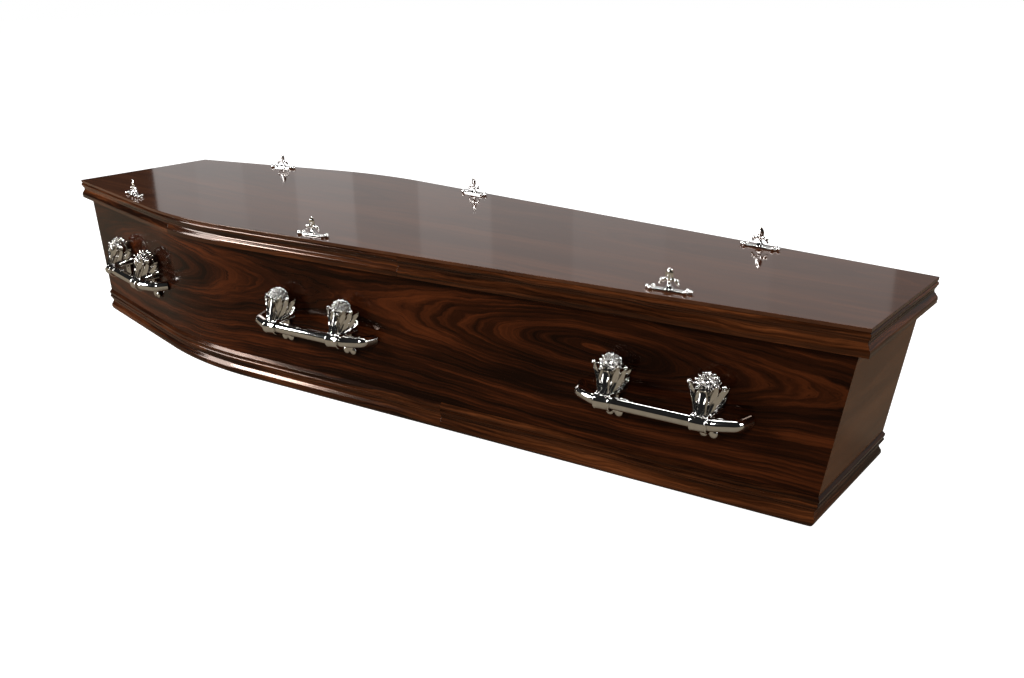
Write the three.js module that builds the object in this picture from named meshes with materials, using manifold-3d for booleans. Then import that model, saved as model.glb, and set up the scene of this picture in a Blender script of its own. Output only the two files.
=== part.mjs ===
// A bowed-shoulder coffin with a lift-off lid, moulded lid and base, bar handles and lid screws.
// Millimetres, +Z up. +X runs from the head to the foot, +Y is the left side and -Y the right side.
// The origin is on the floor, midway along the lid and on the centre line.
import * as THREE from "three";
import { mergeVertices } from "three/addons/utils/BufferGeometryUtils.js";
import Module from "manifold-3d";

const wasm = await Module();
wasm.setup();

// Plan of the lid at its top edge, from which every other outline is offset
const LID_LENGTH = 2000;
const HEAD_WIDTH = 372;
const FOOT_WIDTH = 314;
const SHOULDER_WIDTH = 610; // where the two straight runs of each side would meet
const SHOULDER_X = -412;
const SHOULDER_RADIUS = 1000;
const SHOULDER_STEPS = 6;

// Heights
const LID_TOP = 340;
const LIP_DEPTH = 6.4; // edge of the lid board that shows above the moulding
const LID_BOARD_DEPTH = 16;
const LID_MOULDING_DEPTH = 44; // from the lid top to the moulding's lower arris
const BASE_HEIGHT = 57; // where the body panels meet the base moulding
const BASE_LIP_HEIGHT = 51.2;
const BASE_BOARD_DEPTH = 16;

// Walls
const WALL = 16;
const LID_OVERHANG = 18; // from the lid's edge in to the face of the body
const LID_MOULDING_BACK = 8.5;
const LIP_SLANT = 0.6;
const BASE_LIP_PROJECTION = 4.5;
const HEAD_SETBACK = 5; // the lid overhangs the head end by this much less
const END_RAKE = 36; // how far each end leans in between the lid moulding and the base moulding
const GAP = 0.3; // between touching pieces

// Butt joints in the side mouldings, measured along X
const LID_JOINTS = [-473, 175];
const BASE_JOINTS = [-400, 248];

// Handles
const HANDLE_X = { head: -697, middle: -46, foot: 690 };
const HANDLE_HEIGHT = 156;
const BAR_RADIUS = 11;
const BAR_STANDOFF = 43;
const BAR_HALF_STRAIGHT = 100; // beyond this the bar sweeps back, then turns in to the panel
const BAR_HALF_FOOT = 145;
const BRACKET_SPACING = 165;
const COLLAR_WIDTH = 29;
const COLLAR_RADIUS = 14.8;
const FLOWER_HEIGHT = 56; // from the bar's axis up to the middle of the flower head
const FLOWER_DEPTH = 20; // from the panel out to the middle of the flower head
const FLOWER_RADIUS = 21;
const BACK_PLATE_DROP = 41; // from the bar's axis down to the end of the back plate
const BACK_PLATE_DEPTH = 5;

// Lid screws
const SCREW_X = { head: -706, middle: -48, foot: 690 };
const SCREW_INSET = 26; // over the middle of the wall
const PLATE_LENGTH = 82;
const PLATE_WIDTH = 15;
const PLATE_DEPTH = 3.6;
const KNOB_RADIUS = 3.6;
const THUMB_WIDTH = 34;
const THUMB_HEIGHT = 33;
const THUMB_DEPTH = 4.2;

// Finishes
const VENEER = { color: 0x43200f, roughness: 0.16, metalness: 0 };
const MOULDING = { color: 0x5a2d16, roughness: 0.14, metalness: 0 };
const BOARD = { color: 0x8d6f4d, roughness: 0.75, metalness: 0 };
const CHROME = { color: 0xc9c9cb, roughness: 0.1, metalness: 1 };

const BODY_FACE = -LID_OVERHANG;
const BODY_INSIDE = BODY_FACE - WALL;
const RIM_HEIGHT = LID_TOP - LID_MOULDING_DEPTH;
const RAKE_SLOPE = END_RAKE / (RIM_HEIGHT - BASE_HEIGHT);
const radians = THREE.MathUtils.degToRad;

const coffin = new THREE.Group();

function addPiece(parent, name, geometry, finish) {
  const mesh = new THREE.Mesh(geometry, new THREE.MeshStandardMaterial(finish));
  mesh.name = name;
  parent.add(mesh);
}

// Solids: a loft through matching closed rings, and joins and cuts

function signedVolume(points, triangles) {
  let volume = 0;
  for (const [a, b, c] of triangles) {
    volume += points[a].dot(new THREE.Vector3().crossVectors(points[b], points[c])) / 6;
  }
  return volume;
}

function solidFrom(points, triangles) {
  const outward = signedVolume(points, triangles) > 0;
  const ordered = outward ? triangles : triangles.map(([a, b, c]) => [a, c, b]);
  const geometry = new THREE.BufferGeometry();
  geometry.setFromPoints(points);
  geometry.setIndex(ordered.flat());
  return geometry;
}

// rings: lists of Vector3 with equal counts. flatFirst and flatLast: the two end rings laid flat, for the caps.
function loft(rings, flatFirst, flatLast = flatFirst) {
  const count = rings[0].length;
  const triangles = [];
  for (let ring = 0; ring + 1 < rings.length; ring += 1) {
    for (let i = 0; i < count; i += 1) {
      const a = ring * count + i;
      const b = ring * count + ((i + 1) % count);
      triangles.push([a, b, b + count], [a, b + count, a + count]);
    }
  }
  const last = (rings.length - 1) * count;
  for (const [a, b, c] of THREE.ShapeUtils.triangulateShape(flatFirst, [])) {
    triangles.push(THREE.ShapeUtils.isClockWise(flatFirst) ? [a, b, c] : [a, c, b]);
  }
  for (const [a, b, c] of THREE.ShapeUtils.triangulateShape(flatLast, [])) {
    const cap = [last + a, last + b, last + c];
    triangles.push(THREE.ShapeUtils.isClockWise(flatLast) ? [cap[0], cap[2], cap[1]] : cap);
  }
  return solidFrom(rings.flat(), triangles);
}

function toManifold(geometry) {
  const bare = geometry.clone();
  bare.deleteAttribute("normal");
  bare.deleteAttribute("uv");
  const merged = mergeVertices(bare, 1e-4);
  const vertProperties = new Float32Array(merged.attributes.position.array);
  const triVerts = new Uint32Array(merged.index.array);
  return new wasm.Manifold(new wasm.Mesh({ numProp: 3, vertProperties, triVerts }));
}

function fromManifold(solid) {
  const mesh = solid.getMesh();
  const geometry = new THREE.BufferGeometry();
  geometry.setAttribute("position", new THREE.Float32BufferAttribute(Array.from(mesh.vertProperties), 3));
  geometry.setIndex(Array.from(mesh.triVerts));
  return geometry;
}

function fuse(geometries) {
  return geometries.map(toManifold).reduce((whole, piece) => whole.add(piece));
}

// Plan: the left side's reference line is head run, shoulder arc, foot run

const headCorner = new THREE.Vector2(-LID_LENGTH / 2, HEAD_WIDTH / 2);
const shoulderCorner = new THREE.Vector2(SHOULDER_X, SHOULDER_WIDTH / 2);
const footCorner = new THREE.Vector2(LID_LENGTH / 2, FOOT_WIDTH / 2);

function straightRun(from, to) {
  const along = to.clone().sub(from).normalize();
  const normal = new THREE.Vector2(-along.y, along.x);
  const heightAt = (x) => from.y + ((x - from.x) * along.y) / along.x;
  return { along, normal, heightAt };
}

const headRun = straightRun(headCorner, shoulderCorner);
const footRun = straightRun(shoulderCorner, footCorner);
const headAngle = Math.atan2(headRun.normal.x, headRun.normal.y);
const footAngle = Math.atan2(footRun.normal.x, footRun.normal.y);
const tangentLength = SHOULDER_RADIUS * Math.tan((footAngle - headAngle) / 2);
const arcStart = shoulderCorner.clone().addScaledVector(headRun.along, -tangentLength);
const arcCentre = arcStart.clone().addScaledVector(headRun.normal, -SHOULDER_RADIUS);
const arcX = Array.from({ length: SHOULDER_STEPS + 1 }, (_, step) => {
  const angle = THREE.MathUtils.lerp(headAngle, footAngle, step / SHOULDER_STEPS);
  return arcCentre.x + SHOULDER_RADIUS * Math.sin(angle);
});

// A place on the left side's reference line, with its outward normal
function sideFrame(x) {
  if (x <= arcX[0] || x >= arcX.at(-1)) {
    const run = x < SHOULDER_X ? headRun : footRun;
    return { point: new THREE.Vector2(x, run.heightAt(x)), normal: run.normal };
  }
  const angle = Math.asin((x - arcCentre.x) / SHOULDER_RADIUS);
  const normal = new THREE.Vector2(Math.sin(angle), Math.cos(angle));
  return { point: arcCentre.clone().addScaledVector(normal, SHOULDER_RADIUS), normal };
}

// A station turns an offset from the reference line and a height into a point. side is +1 left, -1 right.
function stationAt(x, side) {
  const { point, normal } = sideFrame(x);
  return (offset, z) => {
    const place = point.clone().addScaledVector(normal, offset);
    return new THREE.Vector3(place.x, side * place.y, z);
  };
}

// end is -1 head, +1 foot. The body's ends lean, the lid's ends are upright.
function cornerStation(end, side, leaning, shift = { x: 0, y: 0 }) {
  const run = end < 0 ? headRun : footRun;
  return (offset, z) => {
    const lean = leaning ? RAKE_SLOPE * (RIM_HEIGHT - z) : 0;
    const setback = leaning && end < 0 ? HEAD_SETBACK : 0;
    const x = end * (LID_LENGTH / 2 + offset + setback - lean);
    const y = run.heightAt(x - offset * run.normal.x) + offset * run.normal.y;
    return new THREE.Vector3(x - end * shift.x, side * (y - shift.y), z);
  };
}

const MITRE_GAP = GAP / 1.4;

function sideCorner(end, side, leaning) {
  const { along } = end < 0 ? headRun : footRun;
  const shift = { x: MITRE_GAP, y: (MITRE_GAP * end * along.y) / along.x };
  return cornerStation(end, side, leaning, shift);
}

function endCorner(end, side, leaning) {
  return cornerStation(end, side, leaning, { x: 0, y: MITRE_GAP });
}

// A length of board or moulding: a profile of [offset, z] points carried through its stations
function runPiece(profile, stations) {
  const rings = stations.map((station) => profile.map(([offset, z]) => station(offset, z)));
  const flat = profile.map(([offset, z]) => new THREE.Vector2(offset, z));
  return loft(rings, flat);
}

function sideStations(from, to, side, leaning) {
  const first = from === "head" ? sideCorner(-1, side, leaning) : stationAt(from + GAP / 2, side);
  const last = to === "foot" ? sideCorner(1, side, leaning) : stationAt(to - GAP / 2, side);
  const low = from === "head" ? -Infinity : from + GAP;
  const high = to === "foot" ? Infinity : to - GAP;
  const between = arcX.filter((x) => x > low && x < high).map((x) => stationAt(x, side));
  return [first, ...between, last];
}

// A whole board in the coffin's plan: levels of [offset, z] from the underside up
function planBoard(levels, leaning) {
  const rings = levels.map(([offset, z]) => {
    const around = [];
    for (const side of [1, -1]) {
      const shoulder = arcX.map((x) => stationAt(x, side));
      const half = [cornerStation(-1, side, leaning), ...shoulder, cornerStation(1, side, leaning)];
      const points = half.map((station) => station(offset, z));
      around.push(...(side > 0 ? points : points.reverse()));
    }
    return around;
  });
  const flat = (ring) => ring.map((p) => new THREE.Vector2(p.x, p.y));
  return loft(rings, flat(rings[0]), flat(rings.at(-1)));
}

// Moulding section: bead, cove and round, as [out, down] from the lip's top arris

function ellipseArc(out, down, radiusOut, radiusDown, fromDegrees, toDegrees, steps) {
  return Array.from({ length: steps + 1 }, (_, step) => {
    const angle = radians(THREE.MathUtils.lerp(fromDegrees, toDegrees, step / steps));
    return [out + radiusOut * Math.cos(angle), down + radiusDown * Math.sin(angle)];
  });
}

const QUIRK = 2.3;
const bead = ellipseArc(-2.6, 11.3, 3, 4, -80, 65, 4);
const cove = ellipseArc(0.2, 22.6, -4.3, 5.6, -55, 55, 3);
const lidRound = ellipseArc(-6.6, 37, 8, 10, -48, 20, 4);
const baseRoundTop = ellipseArc(-6.6, 37, 8, 10, -48, 0, 3);
const BASE_ROUND = 17;
const baseRoundUnder = ellipseArc(1.4 - BASE_ROUND, 37, BASE_ROUND, BASE_LIP_HEIGHT - 37, 18, 90, 4);

const lidProfile = [
  [-LID_MOULDING_BACK, LIP_DEPTH + GAP],
  [-QUIRK, LIP_DEPTH + GAP],
  ...bead,
  ...cove,
  ...lidRound,
  [1, LID_MOULDING_DEPTH],
  [-LID_MOULDING_BACK, LID_MOULDING_DEPTH],
].map(([out, down]) => [out, LID_TOP - down]);

const lipOffset = BODY_FACE + BASE_LIP_PROJECTION;
const baseLip = [[0, 0], [-LIP_SLANT, LIP_DEPTH - 0.4], [-QUIRK, LIP_DEPTH + 0.3]];
const baseFace = [...baseLip, ...bead, ...cove, ...baseRoundTop, ...baseRoundUnder];
const baseProfile = [
  [BODY_INSIDE, BASE_HEIGHT],
  [BODY_FACE, BASE_HEIGHT],
  ...baseFace.map(([out, down]) => [lipOffset + out, BASE_LIP_HEIGHT - down]),
  [BODY_INSIDE, 0],
];

function addMoulding(prefix, profile, joints, leaning) {
  for (const [sideName, side] of [["left", 1], ["right", -1]]) {
    const stops = ["head", ...joints, "foot"];
    for (const [i, partName] of ["head", "shoulder", "foot"].entries()) {
      const geometry = runPiece(profile, sideStations(stops[i], stops[i + 1], side, leaning));
      addPiece(coffin, `${prefix}_${sideName}_${partName}`, geometry, MOULDING);
    }
  }
  for (const [endName, end] of [["head", -1], ["foot", 1]]) {
    const geometry = runPiece(profile, [endCorner(end, 1, leaning), endCorner(end, -1, leaning)]);
    addPiece(coffin, `${prefix}_${endName}_end`, geometry, MOULDING);
  }
}

// Base: floor board inside a moulded frame

const boardLevels = [0, BASE_BOARD_DEPTH].map((z) => [BODY_INSIDE - GAP, z]);
addPiece(coffin, "base_board", planBoard(boardLevels, true), BOARD);
addMoulding("base_moulding", baseProfile, BASE_JOINTS, true);

// Body: two bent side panels and two raked end panels, mitred together

const panelTop = LID_TOP - LID_BOARD_DEPTH - GAP;
const panelProfile = [
  [BODY_INSIDE, BASE_HEIGHT + GAP],
  [BODY_FACE, BASE_HEIGHT + GAP],
  [BODY_FACE, panelTop],
  [BODY_INSIDE, panelTop],
];
for (const [sideName, side] of [["left", 1], ["right", -1]]) {
  const stations = sideStations("head", "foot", side, true);
  addPiece(coffin, `side_panel_${sideName}`, runPiece(panelProfile, stations), VENEER);
}
for (const [endName, end] of [["head", -1], ["foot", 1]]) {
  const corners = [endCorner(end, 1, true), endCorner(end, -1, true)];
  addPiece(coffin, `end_panel_${endName}`, runPiece(panelProfile, corners), VENEER);
}

// Lid: a rebated board lying in and on its moulding

const lidLevels = [
  [-LID_MOULDING_BACK - GAP, LID_TOP - LID_BOARD_DEPTH],
  [-LID_MOULDING_BACK - GAP, LID_TOP - LIP_DEPTH],
  [-LIP_SLANT, LID_TOP - LIP_DEPTH],
  [0, LID_TOP],
];
addPiece(coffin, "lid_board", planBoard(lidLevels, false), VENEER);
addMoulding("lid_moulding", lidProfile, LID_JOINTS, false);

// Handles: drawn with X along the bar, +Y out of the panel and the origin on the panel at the bar's height

// A round bar along a level path, with a ring across the bisector of each bend
function tube(path, radius, sides) {
  const circle = Array.from({ length: sides }, (_, k) => {
    const angle = ((k + 0.5) / sides) * 2 * Math.PI;
    return new THREE.Vector2(radius * Math.cos(angle), radius * Math.sin(angle));
  });
  const legs = path.slice(1).map((point, i) => point.clone().sub(path[i]).normalize());
  const rings = path.map((centre, i) => {
    const before = legs[Math.max(i - 1, 0)];
    const after = legs[Math.min(i, legs.length - 1)];
    const along = before.clone().add(after).normalize();
    const stretch = 1 / along.dot(after);
    const across = new THREE.Vector3(-along.y, along.x, 0).multiplyScalar(stretch);
    return circle.map(({ x, y }) => new THREE.Vector3(0, 0, y).addScaledVector(across, x).add(centre));
  });
  return loft(rings, circle);
}

const BAR_SIDES = 10;

function barGeometry() {
  const rightEnd = [
    [BAR_HALF_STRAIGHT, BAR_STANDOFF],
    [BAR_HALF_FOOT - 16, 0.69 * BAR_STANDOFF],
    [BAR_HALF_FOOT - 8.5, 0.54 * BAR_STANDOFF],
    [BAR_HALF_FOOT - 5, 0.38 * BAR_STANDOFF],
    [BAR_HALF_FOOT, -BAR_RADIUS],
  ];
  const leftEnd = rightEnd.map(([x, y]) => [-x, y]).reverse();
  const path = [...leftEnd, ...rightEnd].map(([x, y]) => new THREE.Vector3(x, y, 0));
  const rod = toManifold(tube(path, BAR_RADIUS, BAR_SIDES));
  return fromManifold(rod.subtract(toManifold(behindPanel())));
}

function behindPanel() {
  const block = new THREE.BoxGeometry(4 * BAR_HALF_FOOT, 100, 400);
  block.translate(0, GAP - 50, 0);
  return block;
}

function collar() {
  const inside = BAR_RADIUS / Math.cos(Math.PI / BAR_SIDES) + GAP;
  const half = COLLAR_WIDTH / 2;
  const section = [
    [inside, -half],
    [COLLAR_RADIUS, -half],
    [COLLAR_RADIUS, half],
    [inside, half],
    [inside, -half],
  ].map(([r, h]) => new THREE.Vector2(r, h));
  const ring = new THREE.LatheGeometry(section, BAR_SIDES);
  ring.rotateZ(Math.PI / 2);
  ring.translate(0, BAR_STANDOFF, 0);
  return ring;
}

// The posy: a sheaf of leaves that stands on the collar, spreads upwards and reaches back to the panel.
// Each level gives height and half width at the panel, then height, half width and standoff at the front.
const POSY_LEVELS = [
  { backHeight: 8, backHalf: 17, frontHeight: 13.5, frontHalf: 11, front: 51 },
  { backHeight: 30, backHalf: 22, frontHeight: 33, frontHalf: 14, front: 45 },
  { backHeight: 50, backHalf: 28, frontHeight: 53, frontHalf: 19, front: 41 },
];
const LEAF_FURROW = 0.88;

function posyLeaves() {
  const rings = POSY_LEVELS.map((level) => {
    const pointAt = (share, width) => {
      const x = width * THREE.MathUtils.lerp(level.backHalf, level.frontHalf, share);
      const height = THREE.MathUtils.lerp(level.backHeight, level.frontHeight, share);
      return new THREE.Vector3(x, GAP + share * (level.front - GAP), height);
    };
    const half = [[0, 1], [0.28, LEAF_FURROW], [0.55, 1.2], [0.78, LEAF_FURROW], [0.96, 0.7]];
    const left = half.map(([share, width]) => pointAt(share, -width));
    const right = half.map(([share, width]) => pointAt(share, width)).reverse();
    return [...left, pointAt(1, 0), ...right];
  });
  return loft(rings, rings[0].map((p) => new THREE.Vector2(p.x, p.y)));
}

function flowerHead() {
  const head = new THREE.SphereGeometry(FLOWER_RADIUS, 8, 5);
  head.scale(1, 0.95, 0.92);
  head.translate(0, FLOWER_DEPTH, FLOWER_HEIGHT);
  return head;
}

// Back plate: a narrow leaf on the panel that ends in two lobes below the bar
const LOBE_RADIUS = 7.5;

function backPlate() {
  const outline = [[-11, 0]];
  for (const side of [-1, 1]) {
    for (const degrees of side < 0 ? [180, 235, 290] : [250, 305, 360]) {
      const angle = radians(degrees);
      const x = side * LOBE_RADIUS + LOBE_RADIUS * Math.cos(angle);
      outline.push([x, LOBE_RADIUS - BACK_PLATE_DROP + LOBE_RADIUS * Math.sin(angle)]);
    }
  }
  outline.push([11, 0], [11, FLOWER_HEIGHT], [-11, FLOWER_HEIGHT]);
  const leaf = new THREE.Shape(outline.map(([x, z]) => new THREE.Vector2(x, z)));
  const plate = new THREE.ExtrudeGeometry(leaf, { depth: BACK_PLATE_DEPTH, bevelEnabled: false });
  plate.rotateX(Math.PI / 2);
  plate.translate(0, BACK_PLATE_DEPTH + GAP, 0);
  return plate;
}

function bracketGeometry() {
  const posy = fuse([posyLeaves(), flowerHead(), backPlate(), collar()]);
  return fromManifold(posy.subtract(toManifold(behindPanel())));
}

const bar = barGeometry();
const bracket = bracketGeometry();

for (const [sideName, side] of [["left", 1], ["right", -1]]) {
  for (const [place, x] of Object.entries(HANDLE_X)) {
    const { normal } = sideFrame(x);
    const handle = new THREE.Group();
    handle.position.copy(stationAt(x, side)(BODY_FACE, HANDLE_HEIGHT));
    handle.rotation.z = Math.atan2(side * normal.y, normal.x) - Math.PI / 2;
    coffin.add(handle);
    addPiece(handle, `handle_${sideName}_${place}_bar`, bar.clone(), CHROME);
    for (const [bracketName, along] of [["a", -1], ["b", 1]]) {
      const moved = bracket.clone().translate((along * BRACKET_SPACING) / 2, 0, 0);
      addPiece(handle, `handle_${sideName}_${place}_bracket_${bracketName}`, moved, CHROME);
    }
  }
}

// Lid screws: drawn with X along the plate, +Z up and the origin on the lid

function lobe(x, y, fromDegrees, toDegrees) {
  return ellipseArc(x, y, KNOB_RADIUS, KNOB_RADIUS, fromDegrees, toDegrees, 3);
}

function escutcheon() {
  const half = PLATE_LENGTH / 2;
  const corner = half - 3.8 * KNOB_RADIUS;
  const quarter = [
    ...lobe(corner, PLATE_WIDTH / 2 - 1, 115, -25),
    ...lobe(half - KNOB_RADIUS, 0, 130, 20),
  ];
  const right = [...quarter, ...quarter.map(([x, y]) => [x, -y]).reverse()];
  const around = [...right, ...right.map(([x, y]) => [-x, -y])];
  const outline = new THREE.Shape(around.map(([x, y]) => new THREE.Vector2(x, y)));
  const plate = new THREE.ExtrudeGeometry(outline, { depth: PLATE_DEPTH, bevelEnabled: false });
  plate.translate(0, 0, GAP);
  return fromManifold(toManifold(plate));
}

// Thumb piece: a fleur of one upright and two drooping lobes on a flared foot
function thumbScrew() {
  const foot = PLATE_DEPTH + 2 * GAP;
  const wide = THUMB_WIDTH / 2;
  const half = [
    [2.3, 3],
    [2.1, 11],
    [wide - 6, 9],
    [wide - 1, 6.5],
    [wide, 10],
    [wide - 3, 16],
    [wide - 8, 17.5],
    [4, 16],
    [4.2, 19],
    [6.2, 23],
    [5, 28],
    [0, THUMB_HEIGHT],
  ];
  const fleur = new THREE.Shape();
  const mirrored = half.slice(0, -1).map(([x, z]) => [-x, z]).reverse();
  fleur.setFromPoints([...half, ...mirrored].map(([x, z]) => new THREE.Vector2(x, z)));
  const blade = new THREE.ExtrudeGeometry(fleur, { depth: THUMB_DEPTH, bevelEnabled: false });
  blade.rotateX(Math.PI / 2);
  blade.translate(0, THUMB_DEPTH / 2, foot);
  const flare = [[0, 0], [8.5, 0], [7.5, 2.5], [4, 5], [3.2, 9], [0, 9]];
  const skirt = new THREE.LatheGeometry(flare.map(([r, z]) => new THREE.Vector2(r, z)), 8);
  skirt.rotateX(Math.PI / 2);
  skirt.translate(0, 0, foot);
  return fromManifold(fuse([blade, skirt]));
}

const plate = escutcheon();
const thumb = thumbScrew();

for (const [sideName, side] of [["left", 1], ["right", -1]]) {
  for (const [place, x] of Object.entries(SCREW_X)) {
    const { normal } = sideFrame(x);
    const screw = new THREE.Group();
    screw.position.copy(stationAt(x, side)(-SCREW_INSET, LID_TOP));
    screw.rotation.z = Math.atan2(side * normal.y, normal.x) - Math.PI / 2;
    coffin.add(screw);
    addPiece(screw, `lid_screw_${sideName}_${place}_plate`, plate.clone(), CHROME);
    addPiece(screw, `lid_screw_${sideName}_${place}_thumb`, thumb.clone(), CHROME);
  }
}

export default coffin;
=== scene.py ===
import math

import bmesh
import bpy
from mathutils import Matrix, Vector


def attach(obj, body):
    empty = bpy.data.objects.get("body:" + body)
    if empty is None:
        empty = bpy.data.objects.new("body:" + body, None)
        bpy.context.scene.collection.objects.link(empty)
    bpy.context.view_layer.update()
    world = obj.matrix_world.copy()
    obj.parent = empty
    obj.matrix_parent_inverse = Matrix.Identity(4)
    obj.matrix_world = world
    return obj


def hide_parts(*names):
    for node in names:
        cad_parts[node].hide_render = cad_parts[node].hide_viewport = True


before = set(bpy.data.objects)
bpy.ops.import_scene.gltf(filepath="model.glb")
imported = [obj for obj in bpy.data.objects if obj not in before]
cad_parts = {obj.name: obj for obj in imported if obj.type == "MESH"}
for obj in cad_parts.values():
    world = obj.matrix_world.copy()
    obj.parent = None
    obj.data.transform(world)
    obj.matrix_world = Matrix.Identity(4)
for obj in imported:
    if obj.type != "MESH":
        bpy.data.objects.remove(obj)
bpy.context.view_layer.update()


# Base board
# The floor of the coffin is one plain fibreboard panel, sawn to the coffin's plan and let into the
# base moulding, which holds it by its edges. Its solid shows as it is, bare on both faces.

def add_node(tree, kind, inputs=None, **properties):
    """A shader node with its properties set, and each named input given a value or a link."""
    node = tree.nodes.new("ShaderNode" + kind)
    for key, value in properties.items():
        setattr(node, key, value)
    for key, value in (inputs or {}).items():
        if isinstance(value, bpy.types.NodeSocket):
            tree.links.new(value, node.inputs[key])
        else:
            node.inputs[key].default_value = value
    return node


def calculate(tree, operation, *values):
    return add_node(tree, "Math", dict(enumerate(values)), operation=operation).outputs[0]


def colour_steps(tree, amount, steps):
    """A colour ramp of (position, colour) steps."""
    ramp = add_node(tree, "ValToRGB", {"Fac": amount})
    elements = ramp.color_ramp.elements
    while len(elements) < len(steps):
        elements.new(1.0)
    for element, (position, colour) in zip(elements, steps):
        element.position = position
        element.color = (*colour, 1.0)
    return ramp.outputs["Color"]


def new_material(name):
    material = bpy.data.materials.new(name)
    material.use_nodes = True
    return material, material.node_tree, material.node_tree.nodes["Principled BSDF"]


FIBRE_TONES = [(0.3, (0.23, 0.15, 0.085)), (0.55, (0.33, 0.23, 0.135)), (0.75, (0.42, 0.31, 0.19))]

fibreboard, tree, skin = new_material("bare fibreboard")
place = add_node(tree, "TexCoord").outputs["Object"]
flecks = add_node(tree, "TexNoise", {"Vector": place, "Scale": 420.0, "Detail": 4.0}).outputs["Fac"]
tree.links.new(colour_steps(tree, flecks, FIBRE_TONES), skin.inputs["Base Color"])
fuzz = add_node(tree, "Bump", {"Height": flecks, "Strength": 0.2, "Distance": 0.0005})
tree.links.new(fuzz.outputs["Normal"], skin.inputs["Normal"])
skin.inputs["Roughness"].default_value = 0.75
board_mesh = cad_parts["base_board"].data
board_mesh.materials.clear()
board_mesh.materials.append(fibreboard)


# Base moulding
# A plinth frame of bead, cove and round, run in fibreboard and wrapped in gloss rosewood foil. Each side
# has two straight lengths and one bent round the shoulder, and the ends are mitred and leant with the body.

UP = Vector((0, 0, 1))
HEAD_CORNER = Vector((-1.0, 0.186, 0))
SHOULDER_CORNER = Vector((-0.412, 0.305, 0))
FOOT_CORNER = Vector((1.0, 0.157, 0))
SHOULDER_RADIUS = 1.0
SHOULDER_STEPS = 30
RIM_HEIGHT = 0.296
END_SLOPE = 0.036 / 0.239
HEAD_SETBACK = 0.005
PANEL_FACE = -0.018
PANEL_BACK = -0.034
SAW_GAP = 0.00014
WELD = 0.000002
PAST_HEAD = 0.8
PAST_FOOT = 1.5
PAST_SIDES = 0.4

head_run = (SHOULDER_CORNER - HEAD_CORNER).normalized()
foot_run = (FOOT_CORNER - SHOULDER_CORNER).normalized()
shoulder_turn = head_run.angle(foot_run)
tangent = SHOULDER_RADIUS * math.tan(shoulder_turn / 2)
arc_start = SHOULDER_CORNER - head_run * tangent
arc_end = SHOULDER_CORNER + foot_run * tangent
arc_centre = arc_start - UP.cross(head_run) * SHOULDER_RADIUS


def draw_section(bm, parts):
    """A closed wire with out along Y and up along Z.

    Each part is a point, or an arc given as its centre, radii, start and stop in degrees, and steps.
    """
    chain = []
    for part in parts:
        count = len(bm.verts)
        if len(part) == 2:
            bm.verts.new((0, *part))
        else:
            centre, radii, (start, stop), steps = part
            first = bm.verts.new((0, math.cos(math.radians(start)), math.sin(math.radians(start))))
            bmesh.ops.spin(bm, geom=[first], cent=(0, 0, 0), axis=(1, 0, 0),
                           angle=math.radians(stop - start), steps=steps)
            arc = bm.verts[:][count:]
            bmesh.ops.scale(bm, vec=(1, *radii), verts=arc)
            bmesh.ops.translate(bm, vec=(0, *centre), verts=arc)
        added = bm.verts[:][count:]
        if chain:
            bm.edges.new((chain[-1], added[0]))
        chain += added
    bm.edges.new((chain[-1], chain[0]))


def only(kind, geometry):
    return [item for item in geometry if isinstance(item, kind)]


def extrude_ring(bm, edges, way):
    far = bmesh.ops.extrude_edge_only(bm, edges=edges)["geom"]
    bmesh.ops.translate(bm, vec=way, verts=only(bmesh.types.BMVert, far))


def run_along_side(section):
    """The section bent round the left shoulder and run out straight past the head and the foot."""
    bm = bmesh.new()
    draw_section(bm, section)
    turn = Matrix.Rotation(math.atan2(head_run.y, head_run.x), 4, "Z")
    bmesh.ops.transform(bm, matrix=Matrix.Translation(arc_start) @ turn, verts=bm.verts[:])
    first = bm.edges[:]
    spun = bmesh.ops.spin(bm, geom=bm.verts[:] + first, cent=arc_centre, axis=UP,
                          angle=-shoulder_turn, steps=SHOULDER_STEPS)["geom_last"]
    extrude_ring(bm, first, head_run * -PAST_HEAD)
    extrude_ring(bm, only(bmesh.types.BMEdge, spun), foot_run * PAST_FOOT)
    return bm


def run_across_end(section, end, raked):
    """The section run straight across the head (-1) or foot (+1), sheared where the end leans."""
    bm = bmesh.new()
    draw_section(bm, section)
    slope = END_SLOPE if raked else 0
    reach = 1.0 - slope * RIM_HEIGHT + (HEAD_SETBACK if raked and end < 0 else 0)
    shear = Matrix(((0, end, end * slope, end * reach), (1, 0, 0, -PAST_SIDES), (0, 0, 1, 0), (0, 0, 0, 1)))
    bmesh.ops.transform(bm, matrix=shear, verts=bm.verts[:])
    extrude_ring(bm, bm.edges[:], (0, 2 * PAST_SIDES, 0))
    return bm


def corner_point(end, out, height, raked):
    """Where a side's line and an end's line meet at the left, at one offset and height."""
    run, corner = (head_run, HEAD_CORNER) if end < 0 else (foot_run, FOOT_CORNER)
    start = corner + UP.cross(run) * out
    lean = END_SLOPE * (RIM_HEIGHT - height) if raked else 0
    setback = HEAD_SETBACK if raked and end < 0 else 0
    x = end * (1.0 + out + setback - lean)
    return Vector((x, start.y + (x - start.x) * run.y / run.x, height))


def mitre(end, raked):
    """The plane of the left mitre at one end: a point on it, and its normal pointing out past the end."""
    a, b, c = (corner_point(end, *place, raked) for place in ((0, 0), (-0.05, 0), (0, 0.3)))
    facing = (b - a).cross(c - a).normalized()
    return a, facing if facing.x * end > 0 else -facing


def saw(bm, point, facing):
    """Cuts off what lies past a plane, less half a saw gap, and closes the sawn face."""
    cut = bmesh.ops.bisect_plane(bm, geom=bm.verts[:] + bm.edges[:] + bm.faces[:],
                                 plane_co=point - facing * SAW_GAP, plane_no=facing, clear_outer=True)
    bmesh.ops.holes_fill(bm, edges=only(bmesh.types.BMEdge, cut["geom_cut"]), sides=0)


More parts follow.
